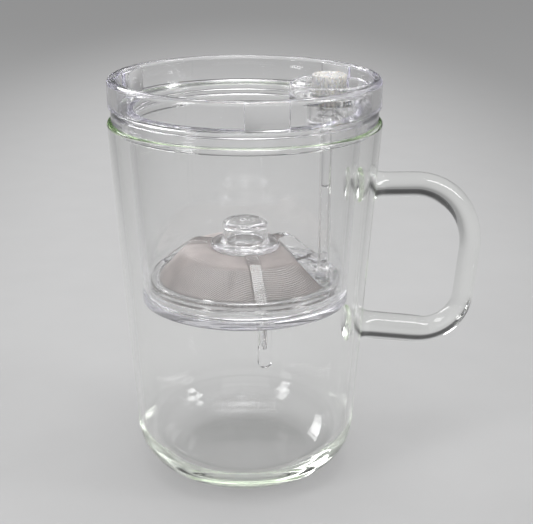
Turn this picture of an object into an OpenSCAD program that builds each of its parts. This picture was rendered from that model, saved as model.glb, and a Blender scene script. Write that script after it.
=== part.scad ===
// Tea mug with a press-button infuser.
// A clear glass mug with a fused rod handle carries a clear plastic infuser in its mouth.
// Pressing the button pushes a rod down, which lowers a stopper off the drain in the infuser's base.
// Millimetres. Z is up, the origin is on the mug's axis at the table, and the handle lies along +X.

/* [Mug] */
// Outer diameter of the sloping wall at the height of the rim
mug_rim_d = 88; // [82:0.5:100]
// Outer diameter that the sloping wall would reach at the table
mug_foot_d = 72; // [66:0.2:82]
// Height of the rim above the table
mug_h = 120; // [108:1:140]
// Thickness of the glass wall
glass_wall = 2.2; // [1.6:0.1:3]
// Thickness of the glass floor
glass_floor = 4; // [2.5:0.1:6]
// Outer radius of the bend from the floor into the wall
foot_round = 16; // [8:0.5:18]

/* [Handle] */
// Height of the middle of the upper root on the wall
handle_top_z = 95.2; // [86:0.2:106]
// Height of the middle of the lower root on the wall
handle_low_z = 45.5; // [34:0.2:52]
// Reach of the outer side from the mug's axis
handle_reach = 85.5; // [80:0.5:96]
// Fall of the upper bar from its root to the corner
handle_top_fall = 2.5; // [0:0.1:6]
// Fall of the lower bar from its root to the corner
handle_low_fall = 7.6; // [0:0.1:12]
// Lean of the outer side towards the mug, from the top corner to the bottom one
handle_lean = 4.9; // [0:0.1:10]
// Bend radius of the upper corner, on the rod's centreline
handle_top_bend = 23; // [14:0.5:25]
// Bend radius of the lower corner, on the rod's centreline
handle_low_bend = 13.8; // [9:0.2:18]
// Height of the rod's section in the upper bar
handle_top_t = 8.6; // [6:0.1:11]
// Depth of the rod's section in the outer side
handle_side_t = 6.8; // [5:0.1:10]
// Height of the rod's section in the lower bar
handle_low_t = 9.6; // [6:0.1:11]
// Width of the rod's section, across the handle
handle_w = 9.4; // [6:0.1:12]
// Growth of the section at the roots, where the rod is fused to the wall
handle_root_grow = 4; // [0:0.2:7]
// Length of the flare at the roots
handle_flare = 7; // [3:0.5:12]

/* [Infuser cup] */
// Gap between the glass and the cup at the cup's upper end, under the flange
cup_top_gap = 4.2; // [3:0.1:5]
// Gap between the glass and the cup at the cup's lower edge
cup_low_gap = 3.8; // [2:0.1:5]
// Thickness of the cup's wall
cup_wall = 2; // [1.5:0.1:2.4]
// Depth of the cup's lower edge below the mug's rim
cup_depth = 55.8; // [48:0.2:62]
// Height of the flange that rests on the rim
flange_h = 4.5; // [3.5:0.1:7]
// Thickness of the flange's top plate
shelf_t = 2; // [1.4:0.1:3]
// Depth of the ring that drops into the mug's mouth
plug_h = 2.6; // [1.5:0.1:5]
// Thickness of that ring
plug_t = 1.6; // [1.2:0.1:2]
// Gap between that ring and the glass
plug_gap = 0.7; // [0.4:0.1:1.2]
// Inset of the flange's edge from the collar's face
flange_inset = 0.9; // [0.3:0.1:1.5]

/* [Collar] */
// Height of the collar above the flange
collar_h = 9; // [8:0.1:14]
// Inset of the collar's face from the mug's rim
collar_inset = 0.4; // [0:0.1:1]
// Thickness of the collar's wall
collar_wall = 3; // [2:0.1:3.6]
// Radius of the collar's upper outer edge
collar_round = 2.4; // [0.8:0.1:2.8]
// Width of the inner tabs
tab_w = 13; // [6:0.1:16]
// Thickness of the inner tabs
tab_t = 1.8; // [1:0.1:3]
// Height of the dish's lip above the flange
dish_h = 5.8; // [4:0.1:7]
// Thickness of the dish's lip
lip_t = 1.6; // [1:0.1:2.4]
// Thickness of the dish's floor
dish_floor_t = 1.6; // [1.2:0.1:2.4]
// Depth of the button's sleeve below the flange's top
sleeve_drop = 7.9; // [6:0.1:10]
// Wall of the button's sleeve
sleeve_wall = 1.3; // [1:0.1:1.4]

/* [Button and rod] */
// Diameter of the button
button_d = 11.2; // [10:0.1:11.4]
// Distance of the button's top below the collar's top
button_sink = 0.5; // [0:0.1:2.5]
// Travel of the button
travel = 4.5; // [3:0.1:5.5]
// Distance of the rod from the inside of the cup's lower edge
rod_inset = 4.2; // [4:0.1:8]
// Outer diameter of the tubular rod
rod_d = 4.2; // [3.6:0.1:4.6]
// Diameter of the button's stem inside the rod
stem_d = 2.7; // [2:0.1:2.8]
// Length of the stem inside the rod
stem_len = 36; // [12:1:46]
// Wire diameter of the return spring
wire_d = 0.6; // [0.4:0.05:0.8]
// Turns of the return spring
spring_turns = 6; // [4:0.5:7]
// Diameter of the return spring at the middle of its wire
spring_d = 7; // [6.4:0.1:7.6]

/* [Base and valve] */
// Step of the base cap's edge out from the cup's lower edge
base_step = 0.1; // [0:0.1:1]
// Height of the base cap's edge
base_t = 3; // [2.6:0.1:4]
// Thickness of the base cap's floor
floor_t = 2; // [1.4:0.1:2.4]
// Thickness of the gasket between base cap and cup
seal_t = 0.6; // [0.4:0.05:1.2]
// Height of the ring that enters the cup, above the base cap's edge
spigot_h = 2.2; // [1.6:0.1:3.5]
// Thickness of that ring
spigot_t = 2.6; // [2:0.1:3.2]
// Width of the chimney round the rod's foot
chimney_w = 9.2; // [8.4:0.1:10.4]
// Height of the chimney's top above the strainer's seat
chimney_h = 2.4; // [2:0.1:6]
// Wall of the chimney
chimney_wall = 1.3; // [1:0.1:1.5]
// Length of the rod's guide in the chimney's top
guide_h = 2.4; // [1.6:0.1:3]
// Diameter of the drain hole
drain_d = 7.2; // [6:0.1:7.8]
// Diameter of the stopper
stopper_d = 10.8; // [9.6:0.1:11.2]
// Thickness of the stopper's disc
stopper_t = 2.6; // [1.8:0.1:3.6]
// Width of the grip tabs under the base
grip_w = 4.4; // [3:0.1:7]
// Length of the grip tabs
grip_len = 16.4; // [8:0.2:22]
// Distance of the grip tabs from the inside of the cup's lower edge
grip_inset = 7.2; // [5:0.2:12]

/* [Strainer] */
// Width of the strainer's outer ring
ring_w = 3.2; // [2.4:0.1:4]
// Height of the strainer's outer ring
ring_h = 2.9; // [2:0.1:4]
// Height from the strainer's seat to the top of its hub
hub_h = 11.5; // [8:0.1:14]
// Diameter of the hub
hub_d = 21; // [18:0.2:24]
// Thickness of the mesh layer
mesh_t = 0.5; // [0.3:0.05:0.8]
// Run of the sloping part of the mesh, from its shoulder out to the ring
slope_run = 8; // [5:0.1:12]
// Fall of the mesh from the hub to its shoulder
shoulder_fall = 0.9; // [0:0.1:3]
// Width of the ribs over the mesh
rib_w = 4.2; // [2.5:0.1:6]
// Height of the ribs' level part above the hub
rib_h = 1; // [0.5:0.1:1.8]
// Gap between the mesh's straight edge and the chimney
chord_gap = 3.4; // [1:0.1:6]
// Thickness of the flat plate beyond that edge
plate_t = 2; // [1:0.1:2.4]
// Diameter of the knob
knob_d = 15; // [12:0.2:17]
// Height of the knob above the hub
knob_h = 9; // [7:0.1:12]
// Diameter of the knob's flange
knob_flange_d = 22.7; // [20:0.2:25]
// Thickness of the knob's flange
knob_flange_t = 1.9; // [1.2:0.1:2.6]
// Wall of the hollow knob
knob_wall = 1.4; // [1:0.1:2]

/* [Hidden] */
$fn = 96;
glass_tint = [0.80, 0.92, 0.86, 0.35];
clear_tint = [0.88, 0.90, 0.92, 0.40];
frost_tint = [0.90, 0.90, 0.88, 0.75];
silicone_tint = [0.85, 0.86, 0.86, 0.80];
mesh_tint = [0.78, 0.76, 0.74];
steel_tint = [0.72, 0.73, 0.75];

// Clearances and seats
seat_gap = 0.1;      // flange over the rim
lift_gap = 0.1;      // strainer over its seat, stopper under its seat
slide_gap = 0.08;    // rod in its guides, button in its sleeve
push_gap = 0.02;     // pieces pushed together
loose_gap = 0.4;     // strainer round the chimney, ring in the cup

// Mug: the sloping wall, its tilt and its radii at a height
mug_slope = (mug_rim_d - mug_foot_d) / 2 / mug_h;
mug_tilt = atan(mug_slope);
function mug_out(z) = mug_foot_d / 2 + mug_slope * z;
function mug_in(z) = mug_out(z) - glass_wall / cos(mug_tilt);

// Infuser levels, from the rim down and up
seat_z = mug_h + seat_gap;
flange_top_z = seat_z + flange_h;
collar_top_z = flange_top_z + collar_h;
plug_low_z = seat_z - plug_h;
cup_low_z = seat_z - cup_depth;
base_top_z = cup_low_z - seal_t;
base_z = base_top_z - base_t;
floor_z = base_z + floor_t;
spigot_top_z = base_top_z + spigot_h;
strainer_z = spigot_top_z + lift_gap;
chimney_top_z = strainer_z + chimney_h;

// Infuser radii
cup_top_r = mug_in(plug_low_z) - cup_top_gap;
cup_low_r = mug_in(cup_low_z) - cup_low_gap;
function cup_out(z) = cup_low_r + (cup_top_r - cup_low_r) * (z - cup_low_z) / (plug_low_z - cup_low_z);
function cup_in(z) = cup_out(z) - cup_wall;
mouth_r = cup_in(plug_low_z);
plug_r = mug_in(plug_low_z) - plug_gap;
collar_r = mug_rim_d / 2 - collar_inset;
collar_in_r = collar_r - collar_wall;
flange_r = collar_r - flange_inset;
spigot_r = cup_in(cup_low_z) - push_gap;
base_r = cup_low_r + base_step;
edge_round = 0.6;
cut_over = 1;        // how far a cutter runs past the faces that it opens

// Button, rod and spring
dish_bite = 0.4;     // how far the dish runs into the collar's wall
bore_r = button_d / 2 + slide_gap;
sleeve_r = bore_r + sleeve_wall;
button_x = min(spigot_r - rod_inset, mouth_r - sleeve_r - loose_gap);
dish_r = collar_in_r + dish_bite - button_x;
button_top_z = collar_top_z - button_sink;
sleeve_low_z = flange_top_z - sleeve_drop;
sleeve_floor_t = 1.6;
sleeve_floor_z = sleeve_low_z + sleeve_floor_t;
sleeve_rise = 1.4;   // sleeve above the dish's floor
dish_floor_z = flange_top_z + dish_floor_t;
button_roof_t = 1.6;
button_roof_z = button_top_z - button_roof_t;
button_wall = 0.9;
skirt_low_z = sleeve_floor_z + travel + loose_gap;
rod_hole_r = rod_d / 2 + slide_gap;
rod_top_z = button_roof_z - loose_gap;
rod_overrun = 2;     // length of the rod below its guide
rod_low_z = chimney_top_z - guide_h - rod_overrun;
stem_low_z = button_roof_z - stem_len;

// Valve
boss_h = 1.2;        // seat round the drain, under the base
boss_wall = 2.4;
stopper_top_z = base_z - boss_h - lift_gap;
stopper_low_z = stopper_top_z - stopper_t;
pin_d = 2.2;
pin_head_d = 4.4;
pin_head_t = 0.9;
pin_grip = 9;        // length of the pin inside the rod

// Strainer
ring_gap = 0.6;      // ring in the tapering cup
ring_r = cup_in(strainer_z) - ring_gap;
ring_in_r = ring_r - ring_w;
ring_top_z = strainer_z + ring_h;
hub_top_z = strainer_z + hub_h;
hub_t = 1.4;
hub_spigot_h = 3;
plate_top_z = strainer_z + plate_t;
mesh_drop = 0.8;     // mesh's edge below the top of the ring
mesh_edge_z = ring_top_z - mesh_drop;
mesh_r = ring_in_r + edge_round;
shoulder_r = ring_in_r - slope_run;
rib_ease = 1.4;      // ribs' bend inside the mesh's shoulder
chord_x = button_x - chimney_w / 2 - chord_gap;
knob_r = knob_d / 2;
knob_flange_r = knob_flange_d / 2;
tab_azimuths = [25, 145, 265];   // collar tabs and strainer ribs
grip_azimuths = [90, 270];
grip_x = spigot_r - grip_inset;

// Points of an arc about c, from angle a to angle b
function arc(c, r, a, b, n = 8) = [for (i = [0:n])
    let (turn = a + (b - a) * i / n) c + r * [cos(turn), sin(turn)]];
function unit(v) = v / norm(v);
function mix(a, b, t) = a + (b - a) * t;

// Closed skin over a list of rings, each with the same number of points
module skin(rings) {
    n = len(rings[0]);
    last = len(rings) - 1;
    points = [for (ring = rings) each ring];
    sides = [for (i = [0:last - 1], j = [0:n - 1])
        let (a = i * n + j, b = i * n + (j + 1) % n) each [[a, b, b + n], [a, b + n, a + n]]];
    start = [for (j = [1:n - 2]) [0, j + 1, j]];
    end = [for (j = [1:n - 2]) [last * n, last * n + j, last * n + j + 1]];
    polyhedron(points, concat(sides, start, end), convexity = 6);
}

// Everything inside the mug's outer face, or the outer face set in by the glass
function mug_corner(inset, floor, round) =
    let (side = mug_foot_d / 2 - inset / cos(mug_tilt) + mug_slope * (floor + round) - round / cos(mug_tilt))
    arc([side, floor + round], round, -90, -mug_tilt, 12);

module mug_body() {
    rim_z = mug_h - glass_wall / 2;
    rim_c = [mug_out(rim_z) - glass_wall / 2 / cos(mug_tilt), rim_z];
    inside = mug_corner(glass_wall, glass_floor, foot_round - glass_wall);
    color(glass_tint) rotate_extrude() polygon(concat(
        [[0, 0]],
        mug_corner(0, 0, foot_round),
        arc(rim_c, glass_wall / 2, -mug_tilt, 180 - mug_tilt),
        [for (i = [len(inside) - 1:-1:0]) inside[i]],
        [[0, glass_floor]]));
}

// The handle's centreline is a bent line in the XZ plane with two rounded corners.
// Each station is [x, z, height of the section, width of the section].
handle_corner_top = [handle_reach - handle_side_t / 2 + handle_lean / 3, handle_top_z - handle_top_fall];
handle_corner_low = [handle_corner_top.x - handle_lean, handle_low_z - handle_low_fall];
handle_sink = 4;     // length of the rod's ends inside the glass before they are trimmed to the wall
handle_root_top = [mug_out(handle_top_z) - handle_sink, handle_top_z];
handle_root_low = [mug_out(handle_low_z) - handle_sink, handle_low_z];

function bend(before, corner, after, r, n) =
    let (u = unit(before - corner), w = unit(after - corner), half = acos(u * w) / 2)
    let (c = corner + unit(u + w) * r / sin(half), reach = r / tan(half))
    let (s = corner + u * reach - c, e = corner + w * reach - c)
    arc(c, r, atan2(s.y, s.x), atan2(e.y, e.x), n);

function root_growth(d) = handle_root_grow * pow(max(0, 1 - max(0, d - handle_sink) / handle_flare), 2);

function bar_stations(root, inner, t, steps) = [for (d = steps)
    let (p = root + unit(inner - root) * d, g = root_growth(d)) [p.x, p.y, t + g, handle_w + g]];

module mug_handle() {
    sides = 20;
    top = bend(handle_root_top, handle_corner_top, handle_corner_low, handle_top_bend, 12);
    low = bend(handle_corner_top, handle_corner_low, handle_root_low, handle_low_bend, 10);
    steps = [for (d = [0, 1, 1.25, 1.5, 2, 2.75]) d * handle_sink];
    steps_back = [for (i = [len(steps) - 1:-1:0]) steps[i]];
    stations = concat(
        bar_stations(handle_root_top, top[0], handle_top_t, steps),
        [for (i = [0:12]) [top[i].x, top[i].y, mix(handle_top_t, handle_side_t, i / 12), handle_w]],
        [for (i = [0:10]) [low[i].x, low[i].y, mix(handle_side_t, handle_low_t, i / 10), handle_w]],
        bar_stations(handle_root_low, low[10], handle_low_t, steps_back));
    count = len(stations);
    rings = [for (i = [0:count - 1])
        let (s = stations[i], p = stations[max(0, i - 1)], q = stations[min(count - 1, i + 1)])
        let (along = unit([q.x - p.x, q.y - p.y]))
        [for (j = [0:sides - 1])
            let (a = 360 * j / sides, lift = s[2] / 2 * cos(a))
            [s.x - along.y * lift, s[3] / 2 * sin(a), s.y + along.x * lift]]];
    color(glass_tint) difference() {
        skin(rings);
        cylinder(h = mug_h, r1 = mug_out(0), r2 = mug_out(mug_h));
    }
}

// Cup wall, the flange on the rim and the ring in the mug's mouth, turned as one section
module infuser_cup() {
    shelf_low_z = flange_top_z - shelf_t;
    color(clear_tint) rotate_extrude() polygon(concat(
        [[cup_in(cup_low_z), cup_low_z], [cup_out(cup_low_z), cup_low_z],
         [cup_out(plug_low_z), plug_low_z], [cup_out(plug_low_z), shelf_low_z],
         [plug_r - plug_t, shelf_low_z], [plug_r - plug_t, plug_low_z]],
        arc([plug_r - edge_round, plug_low_z + edge_round], edge_round, -90, 0, 4),
        [[plug_r, seat_z], [flange_r, seat_z]],
        arc([flange_r - edge_round, flange_top_z - edge_round], edge_round, 0, 90, 4),
        arc([mouth_r + edge_round, flange_top_z - edge_round], edge_round, 90, 180, 4),
        [[mouth_r, plug_low_z]]));
}

// Collar wall with its inner tabs, and the button's dish and sleeve
module collar_ring() {
    color(clear_tint) difference() {
        union() {
            rotate_extrude() polygon(concat(
                [[collar_in_r, flange_top_z]],
                arc([collar_r - edge_round, flange_top_z + edge_round], edge_round, -90, 0, 4),
                arc([collar_r - collar_round, collar_top_z - collar_round], collar_round, 0, 90, 8),
                [[collar_in_r, collar_top_z]]));
            for (a = tab_azimuths) rotate(a) collar_tab();
            translate([button_x, 0, 0]) rotate_extrude() polygon(concat(
                [[rod_hole_r, sleeve_low_z], [sleeve_r, sleeve_low_z], [sleeve_r, flange_top_z],
                 [dish_r, flange_top_z]],
                arc([dish_r - lip_t / 2, flange_top_z + dish_h - lip_t / 2], lip_t / 2, 0, 180),
                [[dish_r - lip_t, dish_floor_z], [sleeve_r, dish_floor_z],
                 [sleeve_r, dish_floor_z + sleeve_rise], [rod_hole_r, dish_floor_z + sleeve_rise]]));
        }
        translate([button_x, 0, sleeve_floor_z]) cylinder(h = collar_top_z - sleeve_floor_z, r = bore_r);
    }
}

module collar_tab() {
    intersection() {
        translate([collar_in_r - tab_t, -tab_w / 2, flange_top_z])
            cube([tab_t + collar_wall / 2, tab_w, collar_h - edge_round]);
        cylinder(h = collar_top_z, r = collar_in_r + collar_wall / 4);
    }
}

// Base cap: floor, edge, the ring that enters the cup, the chimney, the drain and two grip tabs
module base_cap() {
    chimney_in_w = chimney_w - 2 * chimney_wall;
    color(clear_tint) difference() {
        union() {
            rotate_extrude() polygon(concat(
                [[0, base_z]],
                arc([base_r - edge_round, base_z + edge_round], edge_round, -90, 0, 4),
                arc([base_r - edge_round, base_top_z - edge_round], edge_round, 0, 90, 4),
                [[spigot_r, base_top_z], [spigot_r, spigot_top_z], [spigot_r - spigot_t, spigot_top_z],
                 [spigot_r - spigot_t, floor_z], [0, floor_z]]));
            intersection() {
                translate([button_x - chimney_w / 2, -chimney_w / 2, base_z])
                    cube([base_r, chimney_w, chimney_top_z - base_z]);
                cylinder(h = chimney_top_z, r = spigot_r);
            }
            translate([button_x, 0, base_z - boss_h]) cylinder(h = boss_h, r = drain_d / 2 + boss_wall);
            for (a = grip_azimuths) rotate(a) grip_tab();
        }
        translate([button_x - chimney_in_w / 2, -chimney_in_w / 2, floor_z])
            cube([chimney_in_w, chimney_in_w, chimney_top_z - guide_h - floor_z]);
        translate([button_x - chimney_w, -chimney_in_w / 2, floor_z])
            cube([chimney_w, chimney_in_w, spigot_top_z - floor_z]);
        translate([button_x, 0, base_z - boss_h]) cylinder(h = chimney_top_z, r = rod_hole_r);
        translate([button_x, 0, base_z - boss_h]) cylinder(h = boss_h + floor_t, r = drain_d / 2);
    }
}

// One grip tab: a bar with a rounded end, and a tapering fin towards the axis
module grip_tab() {
    bar_t = 2.4;
    fin_t = 1.4;
    fin_len = 12;
    fin_drop = grip_len * 0.7;
    rotate([0, -90, 180]) translate([0, 0, grip_x - bar_t / 2]) linear_extrude(bar_t) {
        translate([base_z - grip_len + grip_w / 2, 0]) circle(d = grip_w);
        translate([base_z - grip_len + grip_w / 2, -grip_w / 2]) square([grip_len - grip_w / 2, grip_w]);
    }
    rotate([90, 0, 0]) translate([0, 0, -fin_t / 2]) linear_extrude(fin_t)
        polygon([[grip_x, base_z], [grip_x - fin_len, base_z], [grip_x, base_z - fin_drop]]);
}

// Flat gasket between the cup's lower edge and the base cap
module base_seal() {
    seal_inset = 0.9;
    color(silicone_tint) translate([0, 0, base_top_z]) difference() {
        cylinder(h = seal_t, r = cup_out(cup_low_z) - seal_inset);
        translate([0, 0, -cut_over]) cylinder(h = seal_t + 2 * cut_over, r = spigot_r + push_gap);
    }
}

// Compression spring round the rod, from the sleeve's floor to the button's roof.
// The wire follows one helix, and each end runs on straight for one wire diameter.
spring_low_z = sleeve_floor_z + wire_d / 2;
spring_top_z = button_roof_z - wire_d / 2;
rings_per_turn = 8;
function spring_point(i) =
    let (a = 360 * i / rings_per_turn, n = spring_turns * rings_per_turn)
    [spring_d / 2 * cos(a), spring_d / 2 * sin(a), mix(spring_low_z, spring_top_z, i / n)];
function spring_heading(i) = let (a = 360 * i / rings_per_turn) [-sin(a), cos(a), 0];
spring_end = spring_turns * rings_per_turn;
spring_path = concat(
    [spring_point(0) - wire_d * spring_heading(0)],
    [for (i = [0:spring_end]) spring_point(i)],
    [spring_point(spring_end) + wire_d * spring_heading(spring_end)]);

// Least gap between stretches of wire that lie half a turn or more apart along it
spring_gap = min([for (i = [0:len(spring_path) - 1], j = [i + 4:1:len(spring_path) - 1])
    norm(spring_path[i] - spring_path[j])]) - wire_d;
echo(spring_gap = spring_gap);

module return_spring() {
    sides = 6;
    last = len(spring_path) - 1;
    rings = [for (i = [0:last])
        let (p = spring_path[i], k = min(max(i - 1, 0), spring_end))
        let (out = unit([spring_point(k).x, spring_point(k).y, 0]), heading = spring_heading(k))
        let (up = cross(out, heading))
        [for (j = [0:sides - 1]) let (a = 360 * j / sides)
            p + wire_d / 2 * (cos(a) * out + sin(a) * up)]];
    color(steel_tint) translate([button_x, 0, 0]) skin(rings);
}

// Button: a hollow cap with a dished top, and a stem that plugs into the rod
module push_button() {
    top_round = 0.9;
    rim_w = 1.5;
    hollow_r = button_d / 2 - rim_w;
    hollow_sink = 0.7;
    color(frost_tint) translate([button_x, 0, 0]) rotate_extrude() polygon(concat(
        [[0, stem_low_z]],
        arc([stem_d / 2 - edge_round, stem_low_z + edge_round], edge_round, -90, 0, 4),
        [[stem_d / 2, button_roof_z], [button_d / 2 - button_wall, button_roof_z],
         [button_d / 2 - button_wall, skirt_low_z], [button_d / 2, skirt_low_z]],
        arc([button_d / 2 - top_round, button_top_z - top_round], top_round, 0, 90, 6),
        [[hollow_r, button_top_z], [hollow_r / 2, button_top_z - hollow_sink * 3 / 4],
         [0, button_top_z - hollow_sink]]));
}

module push_rod() {
    rod_len = rod_top_z - rod_low_z;
    color(clear_tint) translate([button_x, 0, rod_low_z]) difference() {
        cylinder(h = rod_len, d = rod_d);
        translate([0, 0, -cut_over]) cylinder(h = rod_len + 2 * cut_over, r = stem_d / 2 + push_gap);
    }
}

// Pin that plugs into the rod's lower end and carries the stopper on its barbed head
module stopper_pin() {
    color(clear_tint) translate([button_x, 0, 0]) rotate_extrude() polygon([
        [0, stopper_low_z - pin_head_t], [pin_head_d / 2 - edge_round, stopper_low_z - pin_head_t],
        [pin_head_d / 2, stopper_low_z], [pin_d / 2, stopper_low_z], [pin_d / 2, floor_z],
        [rod_d / 2, floor_z], [rod_d / 2, rod_low_z], [stem_d / 2, rod_low_z],
        [stem_d / 2, rod_low_z + pin_grip - edge_round], [stem_d / 2 - edge_round, rod_low_z + pin_grip],
        [0, rod_low_z + pin_grip]]);
}

// Soft stopper: a disc that closes against the drain's seat, with a tapered neck inside the hole
module valve_stopper() {
    neck_gap = 0.5;
    neck_wall = 1;
    bevel = 1;
    color(silicone_tint) translate([button_x, 0, 0]) rotate_extrude() polygon([
        [pin_d / 2 + push_gap, stopper_low_z], [stopper_d / 2 - bevel, stopper_low_z],
        [stopper_d / 2, stopper_low_z + bevel], [stopper_d / 2, stopper_top_z],
        [drain_d / 2 - neck_gap, stopper_top_z], [pin_d / 2 + neck_wall, floor_z - push_gap],
        [pin_d / 2 + push_gap, floor_z - push_gap]]);
}

// Everything under the mesh's upper face, lowered by drop and with its outline grown by spare.
// The face is nearly level round the hub, then slopes down to the ring.
// By the chimney it slopes down to a straight edge instead.
module under_mesh(drop, spare = 0) {
    low_z = strainer_z - 3 * cut_over;
    top_z = hub_top_z + cut_over;
    function straight_x(z) = chord_x - slope_run * (z - plate_top_z) / (hub_top_z - plate_top_z);
    translate([0, 0, -drop]) intersection() {
        rotate_extrude() polygon([[0, low_z], [mesh_r + spare, low_z], [mesh_r + spare, mesh_edge_z],
            [ring_in_r, mesh_edge_z], [shoulder_r, hub_top_z - shoulder_fall], [hub_d / 2, hub_top_z],
            [0, hub_top_z]]);
        rotate([90, 0, 0]) translate([0, 0, -2 * ring_r]) linear_extrude(4 * ring_r) polygon([
            [-2 * ring_r, low_z], [straight_x(plate_top_z - spare), low_z],
            [straight_x(plate_top_z - spare), plate_top_z - spare], [straight_x(top_z), top_z],
            [-2 * ring_r, top_z]]);
    }
}

// Strainer frame: outer ring, hub, ribs, and the flat plate beyond the mesh's straight edge
module strainer_frame() {
    notch_w = chimney_w + 2 * loose_gap;
    plate_x = chord_x - edge_round;
    color(clear_tint) difference() {
        union() {
            rotate_extrude() polygon(concat(
                [[ring_in_r, strainer_z], [ring_r, strainer_z]],
                arc([ring_r - edge_round, ring_top_z - edge_round], edge_round, 0, 90, 4),
                arc([ring_in_r + edge_round, ring_top_z - edge_round], edge_round, 90, 180, 4)));
            translate([0, 0, hub_top_z - hub_t]) cylinder(h = hub_t, d = hub_d);
            translate([0, 0, hub_top_z]) cylinder(h = hub_spigot_h, r = knob_r - knob_wall - push_gap);
            difference() {
                for (a = tab_azimuths) rotate(a) strainer_rib();
                under_mesh(mesh_t, cut_over);
            }
            intersection() {
                translate([plate_x, -ring_r, strainer_z]) cube([ring_r, 2 * ring_r, plate_t]);
                cylinder(h = ring_top_z, r = mesh_r);
            }
        }
        translate([button_x - notch_w / 2, -notch_w / 2, strainer_z - cut_over])
            cube([ring_r, notch_w, hub_h]);
    }
}

// One rib before it is trimmed to the mesh: flush under the knob's flange, level, then down to the ring
module strainer_rib() {
    root = hub_d / 2 - edge_round;
    end_r = ring_r - edge_round;
    rotate([90, 0, 0]) translate([0, 0, -rib_w / 2]) linear_extrude(rib_w) polygon([
        [root, hub_top_z - hub_t], [shoulder_r, strainer_z], [end_r, strainer_z], [end_r, ring_top_z],
        [shoulder_r - rib_ease, hub_top_z + rib_h], [knob_flange_r + loose_gap, hub_top_z + rib_h],
        [knob_flange_r + loose_gap, hub_top_z], [root, hub_top_z]]);
}

// Fine mesh moulded into the frame
module strainer_mesh() {
    color(mesh_tint) difference() {
        under_mesh(0);
        under_mesh(mesh_t, cut_over);
        translate([0, 0, strainer_z]) cylinder(h = hub_h * 2, r = hub_d / 2 - edge_round);
    }
}

// Knob: a hollow cap with a flange, pushed over the hub's spigot
module strainer_knob() {
    top_round = 1.5;
    top_z = hub_top_z + knob_h;
    dimple_r = 1.6;
    dimple_deep = 0.5;
    roof_z = top_z - dimple_deep - knob_wall;
    color(clear_tint) rotate_extrude() polygon(concat(
        [[knob_r - knob_wall, hub_top_z]],
        arc([knob_flange_r - edge_round, hub_top_z + knob_flange_t - edge_round], edge_round, 0, 90, 4),
        [[knob_r, hub_top_z + knob_flange_t]],
        arc([knob_r - top_round, top_z - top_round], top_round, 0, 90, 6),
        [[dimple_r, top_z], [dimple_r / 2, top_z - dimple_deep], [0, top_z - dimple_deep],
         [0, roof_z], [knob_r - knob_wall, roof_z]]));
}

mug_body();
mug_handle();
infuser_cup();
collar_ring();
base_cap();
base_seal();
return_spring();
push_button();
push_rod();
stopper_pin();
valve_stopper();
strainer_frame();
strainer_mesh();
strainer_knob();
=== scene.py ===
"""Clear glass tea mug with a press-button infuser: its visible surfaces, finishes and studio."""

import math

import bmesh
import bpy
import numpy as np
from bpy.props import FloatProperty, FloatVectorProperty, IntProperty, PointerProperty
from mathutils import Matrix, Vector


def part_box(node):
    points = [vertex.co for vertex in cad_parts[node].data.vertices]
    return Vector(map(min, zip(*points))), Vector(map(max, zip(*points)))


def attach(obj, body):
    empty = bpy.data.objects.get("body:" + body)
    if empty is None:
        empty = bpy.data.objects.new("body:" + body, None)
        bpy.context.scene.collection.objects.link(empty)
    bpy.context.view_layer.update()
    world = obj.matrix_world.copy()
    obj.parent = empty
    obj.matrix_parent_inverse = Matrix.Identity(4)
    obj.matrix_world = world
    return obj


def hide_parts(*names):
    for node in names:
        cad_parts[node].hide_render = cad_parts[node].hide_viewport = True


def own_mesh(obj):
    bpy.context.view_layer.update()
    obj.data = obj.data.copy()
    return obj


bl_info = {
    "name": "Infuser Tea Mug",
    "version": (1, 0, 0),
    "blender": (4, 5, 0),
    "location": "View3D > Sidebar > Tea Mug",
    "description": "Builds a clear glass tea mug with a press-button infuser, and its studio",
    "category": "Object",
}

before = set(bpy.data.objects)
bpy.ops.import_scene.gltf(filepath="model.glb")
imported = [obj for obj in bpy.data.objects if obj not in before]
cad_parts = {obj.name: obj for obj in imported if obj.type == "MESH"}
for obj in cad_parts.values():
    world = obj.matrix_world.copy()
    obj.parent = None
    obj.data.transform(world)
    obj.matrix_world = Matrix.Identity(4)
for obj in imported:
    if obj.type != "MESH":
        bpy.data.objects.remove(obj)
MM = 0.001

# Segments of the wide, the middling and the narrow turned pieces
AROUND, MIDDLE_AROUND, SMALL_AROUND = 288, 160, 96
# Radii of moulded edges, from the crispest to the broadest
HAIR, FINE, CRISP, EASED = 0.1 * MM, 0.15 * MM, 0.2 * MM, 0.3 * MM
SOFT, FULL, WIDE, BROAD = 0.4 * MM, 0.5 * MM, 0.6 * MM, 0.8 * MM
# A guard point's distance from its arc, and the most of a side that this may be
GUARD, GUARD_SHARE = 0.08 * MM, 0.03
# The most of a side that an arc may take, beside another arc and beside a sharp corner
SHARED_SIDE, OWN_SIDE = 0.46, 0.95
# Air between pieces that fit into each other, and under the knob's flange
FIT, HUB_GAP = 0.02 * MM, 0.03 * MM
# Share of the mug's wall that the handle's roots reach into
ROOT_SINK = 0.55
# Places of the collar's tabs and the strainer's ribs, and of the grip tabs under the base
TAB_AZIMUTHS = (25, 145, 265)
GRIP_AZIMUTHS = (90, 270)
# Refraction, tint per metre, roughness of the smears, and the ripples' scale and stretch
GLASS = {"ior": 1.474, "density": 5.0, "smear": 0.012, "ripple": 38, "stretch": (1, 1, 0.35)}
CLEAR_PLASTIC = {"ior": 1.57, "density": 12.0, "smear": 0.02, "ripple": 60, "stretch": (1, 1, 0.5)}
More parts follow.
